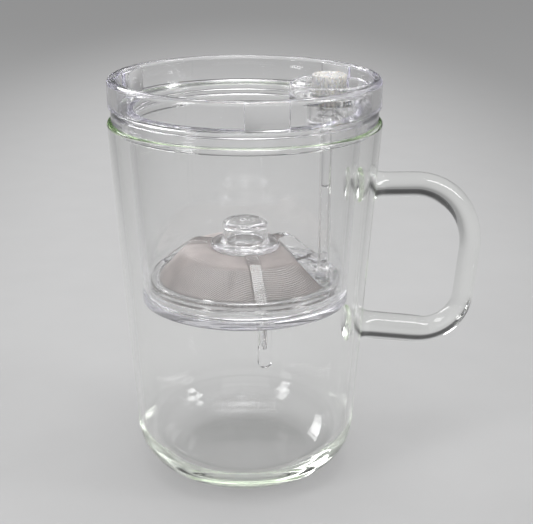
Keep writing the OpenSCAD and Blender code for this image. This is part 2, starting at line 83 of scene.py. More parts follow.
# Soft panels: place in metres, width, height and power in watts
PANELS = {
    "panel_left": ((-0.62, -0.30, 0.42), 0.14, 0.60, 2.2),
    "panel_right": ((0.62, -0.38, 0.46), 0.14, 0.55, 2.2),
    "panel_back": ((-0.25, 0.75, 0.55), 0.60, 0.16, 2.0),
    "panel_top": ((0.05, -0.05, 1.0), 0.55, 0.45, 4.8),
    "panel_front": ((-0.25, -1.0, 0.55), 1.2, 0.8, 2.0),
}
PANEL_TARGET = (0, 0, 0.07)
# Greys of the surround: height from level to overhead, and tone
SURROUND = ((0.0, 0.14), (0.10, 0.05), (0.28, 0.05), (0.50, 0.52), (1.0, 0.75))
# Half the floor's width in metres, and its drop, which keeps it off the plane of the mug's foot
FLOOR_HALF, FLOOR_DROP = 15.0, 0.2 * MM
# Light passes many clear walls, one behind the other
BOUNCES = 128


def low(node):
    """Lowest corner of a node's box."""
    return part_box(node)[0]


def high(node):
    """Highest corner of a node's box."""
    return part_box(node)[1]


def radius(node):
    """Half of a node's width."""
    return (high(node).x - low(node).x) / 2


BUTTON_X = (low("push_rod").x + high("push_rod").x) / 2


def size(name, description, default_mm):
    """A length property whose default is given in millimetres."""
    return FloatProperty(name=name, description=description, default=default_mm * MM, min=0.0,
                         precision=5, unit="LENGTH", subtype="DISTANCE")


def tint(name, description, colour):
    """A colour property."""
    return FloatVectorProperty(name=name, description=description, default=colour, size=4,
                               min=0.0, max=1.0, subtype="COLOR")


def share(name, description, default):
    """A plain number from nothing to one."""
    return FloatProperty(name=name, description=description, default=default, min=0.0, max=1.0,
                         subtype="FACTOR")


class MugSizes(bpy.types.PropertyGroup):
    """Sizes of the glass mug and its handle."""

    rim_d: size("Rim", "Outer diameter of the sloping wall at the rim", 88)
    foot_d: size("Foot", "Outer diameter that the sloping wall would reach at the table", 72)
    wall: size("Wall", "Thickness of the glass wall", 2.2)
    floor: size("Floor", "Thickness of the glass floor", 4)
    foot_round: size("Foot bend", "Outer radius of the bend from floor to wall", 16)
    kick: size("Kick", "Rise of the underside at its middle", 0.7)
    top_z: size("Upper root", "Height of the handle's upper root", 95.2)
    low_z: size("Lower root", "Height of the handle's lower root", 45.5)
    top_fall: size("Upper fall", "Fall of the upper bar to its corner", 2.5)
    low_fall: size("Lower fall", "Fall of the lower bar to its corner", 7.6)
    lean: size("Lean", "Lean of the outer side towards the mug", 4.9)
    top_bend: size("Upper bend", "Bend radius of the upper corner", 23)
    low_bend: size("Lower bend", "Bend radius of the lower corner", 13.8)
    top_t: size("Upper bar", "Height of the rod in the upper bar", 8.6)
    side_t: size("Outer side", "Depth of the rod in the outer side", 6.8)
    low_t: size("Lower bar", "Height of the rod in the lower bar", 9.6)
    rod_w: size("Rod width", "Width of the rod across the handle", 9.4)
    root_grow: size("Root growth", "Growth of the rod where it is fused to the wall", 4)
    flare: size("Root flare", "Length over which the root grows", 7)


class InfuserSizes(bpy.types.PropertyGroup):
    """Sizes of the infuser cup, its collar, base and valve."""

    top_gap: size("Upper gap", "Gap between glass and cup under the flange", 4.2)
    low_gap: size("Lower gap", "Gap between glass and cup at the cup's lower edge", 3.8)
    wall: size("Cup wall", "Thickness of the cup's wall", 2)
    flange_h: size("Flange", "Height of the flange on the rim", 4.5)
    shelf_t: size("Shelf", "Thickness of the flange's top plate", 2)
    plug_h: size("Plug ring", "Depth of the ring in the mug's mouth", 2.6)
    plug_t: size("Plug wall", "Thickness of that ring", 1.6)
    plug_gap: size("Plug gap", "Gap from that ring to the glass", 0.7)
    collar_wall: size("Collar wall", "Thickness of the collar's wall", 3)
    collar_round: size("Collar round", "Radius of the collar's upper edge", 2.4)
    tab_w: size("Tab width", "Width of the inner tabs", 13)
    tab_t: size("Tab thickness", "Thickness of the inner tabs", 1.8)
    dish_h: size("Dish", "Height of the dish's lip above the flange", 5.8)
    dish_bite: size("Dish bite", "How far the dish runs into the collar's wall", 0.4)
    lip_t: size("Lip", "Thickness of the dish's lip", 1.6)
    dish_floor: size("Dish floor", "Thickness of the dish's floor", 1.6)
    sleeve_wall: size("Sleeve wall", "Wall of the button's sleeve", 1.3)
    sleeve_rise: size("Sleeve rise", "Sleeve above the dish's floor", 1.4)
    sleeve_floor: size("Sleeve floor", "Thickness of the sleeve's floor", 1.6)
    base_t: size("Base edge", "Height of the base cap's edge", 3)
    floor_t: size("Base floor", "Thickness of the base cap's floor", 2)
    spigot_h: size("Base ring", "Height of the ring that enters the cup", 2.2)
    spigot_t: size("Base ring wall", "Thickness of that ring", 2.6)
    chimney_w: size("Chimney", "Width of the chimney round the rod's foot", 9.2)
    chimney_h: size("Chimney height", "Height of the chimney above the strainer's seat", 2.4)
    chimney_wall: size("Chimney wall", "Wall of the chimney", 1.3)
    guide_h: size("Guide", "Length of the rod's guide in the chimney", 2.4)
    drain_d: size("Drain", "Diameter of the drain hole", 7.2)
    boss_h: size("Drain seat", "Height of the seat round the drain", 1.2)
    boss_wall: size("Seat wall", "Wall of that seat", 2.4)
    grip_w: size("Grip width", "Width of the grip tabs under the base", 4.4)
    grip_inset: size("Grip place", "Distance of the grip tabs from the inside of the cup's foot", 7.2)
    grip_t: size("Grip thickness", "Thickness of the grip tabs", 2.4)
    slide_gap: size("Slide gap", "Clearance of the rod and the button in their guides", 0.08)
    seam: size("Seam", "Air left between pieces that rest on each other", 0.03)


class ButtonSizes(bpy.types.PropertyGroup):
    """Sizes of the button, its spring and the valve's soft stopper."""

    wall: size("Button wall", "Wall of the hollow button", 0.9)
    roof: size("Button roof", "Thickness of the button's top", 1.6)
    skirt: size("Skirt", "Depth of the button's side", 9.3)
    dish: size("Button dish", "Depth of the hollow in the button's top", 1.1)
    rim: size("Button rim", "Width of the rim round that hollow", 1.3)
    flute: size("Flute", "Depth of the flutes on the button's side", 0.24)
    flutes: IntProperty(name="Flutes", description="Number of flutes", default=26, min=0)
    stem_d: size("Stem", "Diameter of the stem inside the rod", 2.7)
    wire: size("Wire", "Diameter of the spring's wire", 0.6)
    turns: FloatProperty(name="Turns", description="Turns of the spring", default=6.0, min=1.0)
    pin_d: size("Pin", "Diameter of the stopper's pin", 2.2)


class StrainerSizes(bpy.types.PropertyGroup):
    """Sizes of the strainer's frame, net and knob."""

    ring_w: size("Ring", "Width of the outer ring", 3.2)
    ring_h: size("Ring height", "Height of the outer ring", 2.9)
    hub_d: size("Hub", "Diameter of the hub", 21)
    hub_t: size("Hub plate", "Thickness of the hub", 1.4)
    slope_run: size("Slope", "Run of the net's slope from its shoulder to the ring", 8)
    fall: size("Shoulder fall", "Fall of the net from the hub to its shoulder", 0.9)
    net_drop: size("Net edge", "Depth of the net's edge below the ring's top", 0.8)
    fold: size("Fold", "Softness of the net's folds", 0.6)
    rib_w: size("Rib", "Width of the ribs over the net", 4.2)
    rib_h: size("Rib height", "Height of the ribs' level part above the hub", 1)
    rib_ease: size("Rib bend", "Distance of the ribs' bend inside the net's shoulder", 1.4)
    rib_round: size("Rib edge", "Radius of the ribs' upper edges", 0.5)
    plate_t: size("Plate", "Thickness of the plate beyond the net's straight edge", 2)
    pitch: size("Net pitch", "Distance between the net's threads", 0.5)
    thread: size("Thread", "Thickness of the net's threads", 0.25)
    knob_d: size("Knob", "Diameter of the knob", 15)
    knob_wall: size("Knob wall", "Wall of the hollow knob", 1.4)
    flange_t: size("Knob flange", "Thickness of the knob's flange", 1.9)


class Finishes(bpy.types.PropertyGroup):
    """Colours of the finishes."""

    glass: tint("Glass", "Tint of the glass through a long path", (0.80, 0.94, 0.68, 1))
    clear: tint("Clear plastic", "Tint of the clear plastic through a long path", (0.90, 0.89, 0.95, 1))
    frost: tint("Frosted plastic", "Colour of the button", (0.97, 0.95, 0.92, 1))
    silicone: tint("Silicone", "Colour of the soft pieces", (0.84, 0.85, 0.85, 1))
    net: tint("Net", "Colour of the net's threads", (0.80, 0.73, 0.71, 1))
    steel: tint("Steel", "Colour of the spring", (0.66, 0.66, 0.67, 1))


class StageSizes(bpy.types.PropertyGroup):
    """Camera, floor and light."""

    distance: size("Distance", "Distance of the camera from the mug's axis", 362.05)
    height: size("Height", "Height of the camera", 196.755)
    azimuth: FloatProperty(name="Azimuth", description="Turn of the camera round the mug",
                           default=math.radians(-14.0), subtype="ANGLE")
    pitch: FloatProperty(name="Pitch", description="Downward tilt of the camera",
                         default=0.3338, subtype="ANGLE")
    yaw: FloatProperty(name="Yaw", description="Turn of the camera to the right of the axis",
                       default=0.0195, subtype="ANGLE")
    roll: FloatProperty(name="Roll", description="Roll of the camera", default=0.0041, subtype="ANGLE")
    lens: FloatProperty(name="Lens", description="Focal length in millimetres", default=77.46)
    floor_colour: tint("Floor", "Colour of the floor under the mug", (0.52, 0.52, 0.52, 1))
    plain_part: share("Plain part", "Share of the floor's look that no shadow reaches", 0.6)
    # The floor's pale pool is a painted pool of light: its colour is palest round the mug and falls to a
    # painted shade tone beyond it
    painted_pool_wide: size("Pool width", "Half width of the floor's pale pool, across the camera's view", 320)
    painted_pool_long: size("Pool length", "Half length of that pool, along the camera's view", 1000)
    painted_pool_back: size("Pool centre", "Distance of that pool's centre behind the mug", 300)
    painted_shade_tone: share("Far tone", "Tone beyond the pool as a share of the floor's colour", 0.65)


def arc(centre, r, start, end, count):
    """Points of a circle's arc: centre plus radius times the cosine and sine of evenly spaced angles."""
    angle = np.radians(np.linspace(start, end, count + 1))
    return np.asarray(centre) + r * np.stack([np.cos(angle), np.sin(angle)], 1)


def rounded(corners, closed=True, step=9.0):
    """Outline through (x, y, radius) corners.

    Each corner becomes an arc of its radius, tangent to both sides. A guard point just outside
    each end of an arc keeps the straight stretch beside it flat when it is shaded smooth.
    """
    place = np.array([c[:2] for c in corners], float)
    radii = [c[2] if len(c) > 2 else 0.0 for c in corners]
    count = len(corners)
    runs = []
    for i in range(count):
        p = place[i]
        if not closed and i in (0, count - 1) or radii[i] <= 0:
            runs.append(p[None])
            continue
        before, after = place[i - 1] - p, place[(i + 1) % count] - p
        la, lb = np.linalg.norm(before), np.linalg.norm(after)
        ua, ub = before / la, after / lb
        half = math.acos(float(np.clip(ua @ ub, -1, 1))) / 2
        room = [SHARED_SIDE if r > 0 else OWN_SIDE for r in (radii[i - 1], radii[(i + 1) % count])]
        reach = min(radii[i] / math.tan(half), room[0] * la, room[1] * lb)
        r = reach * math.tan(half)
        centre = p + (ua + ub) / np.linalg.norm(ua + ub) * r / math.sin(half)
        s, e = p + ua * reach - centre, p + ub * reach - centre
        a0, a1 = math.atan2(s[1], s[0]), math.atan2(e[1], e[0])
        turn = (a1 - a0 + math.pi) % (2 * math.pi) - math.pi
        n = max(3, math.ceil(abs(math.degrees(turn)) / step))
        curve = arc(centre, r, math.degrees(a0), math.degrees(a0 + turn), n)
        guards = [p + u * (reach + min(GUARD, GUARD_SHARE * l)) for u, l in ((ua, la), (ub, lb))]
        runs += [guards[0][None], curve, guards[1][None]]
    return np.concatenate(runs)


def grid_faces(rows, columns, wrap_rows, wrap_columns):
    """Quads between neighbouring points of a grid, which may close on itself either way."""
    i = np.arange(rows if wrap_rows else rows - 1)[:, None]
    j = np.arange(columns if wrap_columns else columns - 1)[None]
    i2, j2 = (i + 1) % rows, (j + 1) % columns
    corners = [i * columns + j, i2 * columns + j, i2 * columns + j2, i * columns + j2]
    return np.stack(corners, -1).reshape(-1, 4)


def lathe(profile, segments=AROUND, x=0.0, flutes=0, depth=None):
    """Surface of revolution: the profile's point j turned to angle i about a vertical axis at x.

    A profile that starts and ends on the axis gets two poles, and any other profile is a closed loop.
    Flutes add depth times the cosine of flutes times the angle to each radius.
    """
    on_axis = 1e-9
    profile = np.asarray(profile, float)
    poles = profile[0, 0] < on_axis and profile[-1, 0] < on_axis
    body = profile[1:-1] if poles else profile
    angle = np.linspace(0, 2 * np.pi, segments, endpoint=False)[:, None]
    r = np.broadcast_to(body[None, :, 0], (segments, len(body)))
    if flutes:
        r = r + np.asarray(depth)[None] * np.cos(flutes * angle)
    z = np.broadcast_to(body[None, :, 1], r.shape)
    points = np.stack([x + r * np.cos(angle), r * np.sin(angle), z], -1).reshape(-1, 3)
    faces = grid_faces(segments, len(body), True, not poles)
    if not poles:
        return points, faces.tolist()
    ends = np.array([[x, 0, profile[0, 1]], [x, 0, profile[-1, 1]]])
    first = np.arange(segments) * len(body)
    after = np.roll(first, -1)
    start = np.stack([np.full(segments, len(points)), after, first], 1)
    last = len(body) - 1
    end = np.stack([np.full(segments, len(points) + 1), first + last, after + last], 1)
    return np.concatenate([points, ends]), faces.tolist() + start.tolist() + end.tolist()


def sweep(path, across, up, section):
    """Section carried along a path, and capped at both ends.

    Point j of station i is the path's point i plus the section's two coordinates along across and up.
    """
    path, across, up, section = (np.asarray(a, float) for a in (path, across, up, section))
    section = np.broadcast_to(section, (len(path),) + section.shape[-2:])
    across, up = (np.broadcast_to(a, path.shape) for a in (across, up))
    points = path[:, None] + section[..., :1] * across[:, None] + section[..., 1:] * up[:, None]
    rows, columns = points.shape[:2]
    faces = grid_faces(rows, columns, False, True).tolist()
    caps = [list(range(columns))[::-1], list(range((rows - 1) * columns, rows * columns))]
    return points.reshape(-1, 3), faces + caps


def block(x0, x1, y0, y1, z0, z1):
    """Box between three pairs of planes, as a rectangle swept upwards."""
    rectangle = [(x0, y0), (x1, y0), (x1, y1), (x0, y1)]
    return sweep([(0, 0, z0), (0, 0, z1)], (1, 0, 0), (0, 1, 0), rectangle)


def turned(solid, azimuth):
    """Solid turned about the mug's axis by an angle in degrees."""
    a = math.radians(azimuth)
    turn = np.array([[math.cos(a), -math.sin(a), 0], [math.sin(a), math.cos(a), 0], [0, 0, 1]])
    return solid[0] @ turn.T, solid[1]


def new_mesh(name, solid):
    """Mesh of a solid's points and faces, with the faces made to point outwards."""
    mesh = bpy.data.meshes.new(name)
    mesh.from_pydata(np.asarray(solid[0]).tolist(), [], solid[1])
    work = bmesh.new()
    work.from_mesh(mesh)
    bmesh.ops.recalc_face_normals(work, faces=work.faces)
    work.to_mesh(mesh)
    work.free()
    return mesh


def as_mesh(name, shape):
    """Mesh of a shape that is either a mesh already or a solid's points and faces."""
    return new_mesh(name, shape) if isinstance(shape, tuple) else shape


def softened(solid, width):
    """Mesh of a solid, with a bevel on every edge that turns by more than 30 degrees."""
    mesh = new_mesh("softened", solid)
    work = bmesh.new()
    work.from_mesh(mesh)
    limit = math.radians(30)
    edges = [e for e in work.edges if len(e.link_faces) == 2 and e.calc_face_angle() > limit]
    bmesh.ops.bevel(work, geom=edges, offset=width, segments=3, profile=0.5, affect="EDGES")
    work.to_mesh(mesh)
    work.free()
    return mesh


def combined(name, adds, cuts=()):
    """One mesh from several closed shapes: the first joined with the others, then less the cuts."""
    made = [bpy.data.objects.new(name, as_mesh(name, shape)) for shape in (*adds, *cuts)]
    for o in made:
        bpy.context.scene.collection.objects.link(o)
    for i, o in enumerate(made[1:], 1):
        step = made[0].modifiers.new(f"step_{i}", "BOOLEAN")
        step.operation = "UNION" if i < len(adds) else "DIFFERENCE"
        step.solver = "EXACT"
        step.object = o
    graph = bpy.context.evaluated_depsgraph_get()
    mesh = bpy.data.meshes.new_from_object(made[0].evaluated_get(graph))
    for o in made:
        old = o.data
        bpy.data.objects.remove(o)
        bpy.data.meshes.remove(old)
    if not mesh.polygons:
        raise RuntimeError(f"{name}: joining its solids left nothing")
    mesh.name = name
    return mesh


def piece(name, shape, body, slot, *nodes, look=None, sharp=38.0):
    """Finished piece: smooth between faces that turn less than sharp degrees, riding on its body.

    Its finish has the slot's name, or the look's where one is given.
    """
    mesh = as_mesh(name, shape)
    mesh.materials.clear()
    mesh.materials.append(finish(look or slot))
    mesh.shade_smooth()
    mesh.set_sharp_from_angle(angle=math.radians(sharp))
    obj = bpy.data.objects.new(name, mesh)
    bpy.context.scene.collection.objects.link(obj)
    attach(obj, body)
    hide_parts(*nodes)
    return obj


def toned(colour, factor):
    """Colour times a factor, up to full."""
    return tuple(min(1, c * factor) for c in colour[:3]) + (1,)


class Nodes:
    """Short way to add and link the shader nodes of one material or world."""

    def __init__(self, owner, output="ShaderNodeOutputMaterial"):
        owner.use_nodes = True
        self.owner = owner
        self.tree = owner.node_tree
        self.tree.nodes.clear()
        self.out = self.add(output)

    def add(self, kind, inputs=None, **settings):
        """Node of a kind, with its settings and its inputs' values."""
        node = self.tree.nodes.new(kind)
        for key, value in settings.items():
            setattr(node, key, value)
        for key, value in (inputs or {}).items():
            node.inputs[key].default_value = value
        return node

    def link(self, source, target):
        """Link from an output to an input."""
        self.tree.links.new(source, target)

    def shader(self, inputs):
        """Principled shader on the surface, with plain values on its own sockets."""
        node = self.add("ShaderNodeBsdfPrincipled", inputs)
        self.link(node.outputs["BSDF"], self.out.inputs["Surface"])
        return node

    def noise(self, scale, detail=3.0, stretch=(1, 1, 1)):
        """Noise on Object coordinates, stretched by a Mapping node."""
        where = self.add("ShaderNodeTexCoord")
        mapped = self.add("ShaderNodeMapping", {"Scale": stretch})
        noise = self.add("ShaderNodeTexNoise", {"Scale": scale, "Detail": detail})
        self.link(where.outputs["Object"], mapped.inputs["Vector"])
        self.link(mapped.outputs["Vector"], noise.inputs["Vector"])
        return noise.outputs["Fac"]

    def ranged(self, value, low_value, high_value, from_low=0.3, from_high=0.7):
        """Value carried from one range to another."""
        node = self.add("ShaderNodeMapRange", {"From Min": from_low, "From Max": from_high,
                                               "To Min": low_value, "To Max": high_value})
        self.link(value, node.inputs["Value"])
        return node.outputs["Result"]

    def bump(self, height, strength, distance):
        """Bump from a height."""
        node = self.add("ShaderNodeBump", {"Strength": strength, "Distance": distance})
        self.link(height, node.inputs["Height"])
        return node.outputs["Normal"]

    def mixed(self, factor, a=None, b=None):
        """Mix of two colours by a linked factor; a colour left out is linked later."""
        node = self.add("ShaderNodeMix", data_type="RGBA")
        for key, colour in (("A", a), ("B", b)):
            if colour:
                node.inputs[key].default_value = colour
        self.link(factor, node.inputs["Factor"])
        return node


def clear_finish(name, colour, ior, density, smear, ripple, stretch):
    """Clear material, tinted along the path inside it: it refracts, and has faint smears and ripples."""
    n = Nodes(bpy.data.materials.new(name))
    shader = n.shader({"Base Color": (1, 1, 1, 1), "IOR": ior, "Transmission Weight": 1.0})
    smears = n.ranged(n.noise(55, detail=4.0), 0.0, smear, from_low=0.45, from_high=0.75)
    n.link(smears, shader.inputs["Roughness"])
    ripples = n.noise(ripple, detail=2.0, stretch=stretch)
    n.link(n.bump(ripples, strength=0.03, distance=MM), shader.inputs["Normal"])
    inside = n.add("ShaderNodeVolumeAbsorption", {"Color": colour, "Density": density})
    n.link(inside.outputs["Volume"], n.out.inputs["Volume"])
    return n.owner


def grained_finish(name, inputs, grain, rough, bump, bump_strength):
    """Cloudy plastic or rubber: a grain of dull and glossy specks, and a finer bump."""
    n = Nodes(bpy.data.materials.new(name))
    shader = n.shader(inputs)
    n.link(n.ranged(n.noise(grain), *rough), shader.inputs["Roughness"])
    fine = n.noise(bump, detail=2.0)
    n.link(n.bump(fine, bump_strength, distance=0.2 * MM), shader.inputs["Normal"])
    return n.owner


def frost_finish(colour):
    """Frosted plastic: rough refraction over a pale body, finely grained."""
    inputs = {"Base Color": colour, "IOR": 1.5, "Transmission Weight": 0.45, "Subsurface Weight": 0.6,
              "Subsurface Radius": (1.0, 0.9, 0.75), "Subsurface Scale": 2 * MM}
    return grained_finish("frosted_plastic_finish", inputs, grain=900, rough=(0.20, 0.42),
                          bump=1200, bump_strength=0.2)


def soft_finish(colour):
    """Silicone rubber: milky, with a dull uneven gloss."""
    inputs = {"Base Color": colour, "IOR": 1.41, "Transmission Weight": 0.4, "Subsurface Weight": 0.3}
    return grained_finish("silicone_finish", inputs, grain=400, rough=(0.35, 0.6),
                          bump=700, bump_strength=0.1)


def net_finish(colour):
    """Nylon thread: pale, with an uneven tone."""
    n = Nodes(bpy.data.materials.new("nylon_net_finish"))
    shader = n.shader({"IOR": 1.53, "Roughness": 0.35})
    tone = n.mixed(n.ranged(n.noise(140), 0.0, 1.0), toned(colour, 0.86), toned(colour, 1.06))
    n.link(tone.outputs["Result"], shader.inputs["Base Color"])
    return n.owner


def steel_finish(colour):
    """Drawn wire: bright metal with fine scratches."""
    n = Nodes(bpy.data.materials.new("spring_steel_finish"))
    shader = n.shader({"Base Color": colour, "Metallic": 1.0})
    n.link(n.ranged(n.noise(1500, stretch=(1, 1, 6)), 0.16, 0.34), shader.inputs["Roughness"])
    return n.owner


def finish(name):
    """Material by its name, made the first time it is asked for."""
    ready = bpy.data.materials.get(f"{name}_finish")
    if ready:
        return ready
    c = bpy.context.scene.tea_mug_finishes
    makers = {
        "glass": lambda: clear_finish("glass_finish", c.glass, **GLASS),
        "clear_plastic": lambda: clear_finish("clear_plastic_finish", c.clear, **CLEAR_PLASTIC),
        "frosted_plastic": lambda: frost_finish(c.frost),
        "silicone": lambda: soft_finish(c.silicone),
        "nylon_net": lambda: net_finish(c.net),
        "spring_steel": lambda: steel_finish(c.steel),
    }
    return makers[name]()


def mug_wall(s, z):
    """Outer radius of the mug's sloping wall at a height."""
    h = high("mug_body").z
    return s.foot_d / 2 + (s.rim_d - s.foot_d) / 2 * z / h


def mug_tilt(s):
    """Angle of the mug's wall from the vertical."""
    return math.atan((s.rim_d - s.foot_d) / 2 / high("mug_body").z)


def mug_profile(s):
    """Half section of the mug: underside, foot bend, wall, rounded rim, and back down the inside.

    The underside rises to the middle by the kick times half of one plus a cosine, and the floor by
    a share of that.
    """
    floor_share, ring_count = 0.7, 11
    h = high("mug_body").z
    thick = s.wall / math.cos(mug_tilt(s))
    rim = s.wall / 2
    flat = np.linspace(0, s.foot_d / 2 - s.foot_round, ring_count)
    rise = s.kick * (1 + np.cos(np.pi * flat / flat[-1])) / 2
    under = np.stack([flat, rise], 1)
    over = np.stack([flat, s.floor + floor_share * rise], 1)[::-1]
    bends = rounded([
        under[-1], (mug_wall(s, 0), 0, s.foot_round),
        (mug_wall(s, h), h, rim), (mug_wall(s, h) - thick, h, rim),
        (mug_wall(s, s.floor) - thick, s.floor, s.foot_round - s.wall), over[0],
    ], closed=False, step=3.0)
    return np.concatenate([under[:-1], bends, over[1:]])


def handle_path(s):
    """Middle line of the handle, the length up to each point, and the whole length.

    Two straight bars and an outer side, with an arc at each corner. The bars start inside the glass,
    and the points stand closer together near both roots.
    """
    points, crowding = 181, 0.6
    reach = high("mug_handle").x
    sink = s.wall * ROOT_SINK
    corner_top = np.array([reach - s.side_t / 2 + s.lean / 3, s.top_z - s.top_fall])
    corner_low = np.array([corner_top[0] - s.lean, s.low_z - s.low_fall])
    root_top = np.array([mug_wall(s, s.top_z) - sink, s.top_z])
    root_low = np.array([mug_wall(s, s.low_z) - sink, s.low_z])
    line = rounded([root_top, (*corner_top, s.top_bend), (*corner_low, s.low_bend), root_low],
                   closed=False, step=0.5)
    steps = np.linalg.norm(np.diff(line, axis=0), axis=1)
    along = np.concatenate([[0], np.cumsum(steps)])
    fine = np.linspace(0, 1, points)
    fine = along[-1] * (fine - np.sin(2 * np.pi * fine) / (2 * np.pi) * crowding)
    line = np.stack([np.interp(fine, along, line[:, k]) for k in (0, 1)], 1)
    return line, fine, along[-1]


def handle_solid(s):
    """Oval section carried along the handle's middle line, growing towards both roots.

    Its height is the upper bar's, then the outer side's, then the lower bar's, and changes evenly between
    the shares of the length where they end and begin.
    """
    shares, oval_points = [0, 0.26, 0.45, 0.62, 0.80, 1], 56
    line, along, total = handle_path(s)
    heading = np.gradient(line, axis=0)
    heading /= np.linalg.norm(heading, axis=1)[:, None]
    tall = np.interp(along / total, shares, [s.top_t, s.top_t, s.side_t, s.side_t, s.low_t, s.low_t])
    near = np.minimum(along, total - along)
    grow = s.root_grow * np.clip(1 - near / (s.flare + s.wall * ROOT_SINK), 0, 1) ** 2
    angle = np.linspace(0, 2 * np.pi, oval_points, endpoint=False)
    section = np.stack([np.cos(angle)[None] * (tall + grow)[:, None] / 2,
                        np.sin(angle)[None] * (s.rod_w + grow)[:, None] / 2], -1)
    path = np.stack([line[:, 0], np.zeros(len(line)), line[:, 1]], 1)
    across = np.stack([-heading[:, 1], np.zeros(len(line)), heading[:, 0]], 1)
    return sweep(path, across, (0, 1, 0), section)


class TEAMUG_OT_mug(bpy.types.Operator):
    """Blows the glass mug and fuses its rod handle to the wall"""

    bl_idname = "tea_mug.mug"
    bl_label = "Mug and handle"

    def execute(self, context):
        s = context.scene.tea_mug_mug
        mesh = combined("mug_glass", [lathe(mug_profile(s)), handle_solid(s)])
        piece("mug_glass", mesh, "mug", "glass", "mug_body", "mug_handle")
        return {"FINISHED"}


def cup_out(s, z):
    """Outer radius of the infuser cup at a height."""
    mug = bpy.context.scene.tea_mug_mug
    inset = mug.wall / math.cos(mug_tilt(mug))
    top, foot = high("infuser_cup").z - s.flange_h - s.plug_h, low("infuser_cup").z
    top_r, foot_r = mug_wall(mug, top) - inset - s.top_gap, mug_wall(mug, foot) - inset - s.low_gap
    return foot_r + (top_r - foot_r) * (z - foot) / (top - foot)


def cup_foot_in(s):
    """Inner radius of the infuser cup at its lower edge."""
    return cup_out(s, low("infuser_cup").z) - s.wall


def cup_profile(s, mug):
    """Half section of the cup.

    It runs from the lower edge up the wall, round the ring in the mug's mouth and the flange on the rim,
    and down the inside.
    """
    bend = 8 * MM
    foot, top = low("infuser_cup").z, high("infuser_cup").z
    seat = top - s.flange_h
    plug_low, shelf = seat - s.plug_h, top - s.shelf_t
    plug_r = mug_wall(mug, plug_low) - mug.wall - s.plug_gap
    flange_r = high("infuser_cup").x
    outer, inner = cup_out(s, plug_low), cup_out(s, plug_low) - s.wall
    return rounded([
        (cup_foot_in(s), foot, CRISP), (cup_out(s, foot), foot, EASED), (outer, plug_low, bend),
        (outer, shelf, FULL), (plug_r - s.plug_t, shelf, FULL), (plug_r - s.plug_t, plug_low, FULL),
        (plug_r, plug_low, WIDE), (plug_r, seat, EASED), (flange_r, seat, SOFT), (flange_r, top, WIDE),
        (inner, top, WIDE), (inner, plug_low, bend),
    ])


class TEAMUG_OT_cup(bpy.types.Operator):
    """Turns the infuser cup with its flange and the ring in the mug's mouth"""

    bl_idname = "tea_mug.cup"
    bl_label = "Infuser cup"

    def execute(self, context):
        profile = cup_profile(context.scene.tea_mug_infuser, context.scene.tea_mug_mug)
        piece("infuser_cup_wall", lathe(profile), "infuser", "clear_plastic", "infuser_cup")
        return {"FINISHED"}


def collar_shapes(s):
    """Collar wall, the dish and sleeve round the button, and the collar's inner tabs."""
    tab_drop, tab_edge = 0.5 * MM, 0.35 * MM
    outer, top = high("collar_ring").x, high("collar_ring").z
    seat = high("infuser_cup").z + s.seam
    inner = outer - s.collar_wall
    wall = rounded([(inner, seat, EASED), (outer, seat, WIDE), (outer, top, s.collar_round),
                    (inner, top, FULL)], step=6.0)
    tab = block(inner - s.tab_t, inner + s.collar_wall / 2, -s.tab_w / 2, s.tab_w / 2, seat, top - tab_drop)
    tabs = [softened(turned(tab, azimuth), tab_edge) for azimuth in TAB_AZIMUTHS]
    rod_r = radius("push_rod") + s.slide_gap
    bore = radius("push_button") + s.slide_gap
    sleeve = bore + s.sleeve_wall
    dish = inner + s.dish_bite - BUTTON_X
    bottom, floor, lip = low("collar_ring").z, seat + s.dish_floor, seat + s.dish_h
    cup = rounded([
        (rod_r, bottom, CRISP), (sleeve, bottom, WIDE), (sleeve, seat, EASED), (dish, seat, EASED),
        (dish, lip, s.lip_t / 2), (dish - s.lip_t, lip, s.lip_t / 2), (dish - s.lip_t, floor, BROAD),
        (sleeve, floor, SOFT), (sleeve, floor + s.sleeve_rise, SOFT), (bore, floor + s.sleeve_rise, EASED),
        (bore, bottom + s.sleeve_floor, EASED), (rod_r, bottom + s.sleeve_floor, CRISP),
    ])
    return [lathe(wall), lathe(cup, MIDDLE_AROUND, BUTTON_X), *tabs]


class TEAMUG_OT_collar(bpy.types.Operator):
    """Moulds the collar with its tabs, and the button's dish and sleeve"""

    bl_idname = "tea_mug.collar"
    bl_label = "Collar"

    def execute(self, context):
        mesh = combined("collar_clear", collar_shapes(context.scene.tea_mug_infuser))
        piece("collar_clear", mesh, "infuser", "clear_plastic", "collar_ring")
        return {"FINISHED"}


def grip_shapes(s, base_low):
    """Grip tabs under the base: each a bar with a round end, and a tapering fin behind it."""
    fin_t, fin_run, fin_drop, end_share, bar_edge = 1.4 * MM, 12 * MM, 0.7, 0.98, 0.45 * MM
    tip, root = low("base_cap").z, base_low + s.floor_t / 2
    half, end_r = s.grip_w / 2, s.grip_w / 2 * end_share
    x = cup_foot_in(s) - s.grip_inset
    outline = rounded([(-half, tip, end_r), (half, tip, end_r), (half, root), (-half, root)])
    bar = sweep([(x - s.grip_t / 2, 0, 0), (x + s.grip_t / 2, 0, 0)], (0, 1, 0), (0, 0, 1), outline)
    fin = sweep([(0, -fin_t / 2, 0), (0, fin_t / 2, 0)], (1, 0, 0), (0, 0, 1),
                [(x, root), (x - fin_run, root), (x - fin_run, base_low),
                 (x, base_low - fin_drop * (base_low - tip))])
    return [softened(turned(solid, azimuth), width) for azimuth in GRIP_AZIMUTHS
            for solid, width in ((bar, bar_edge), (fin, EASED))]


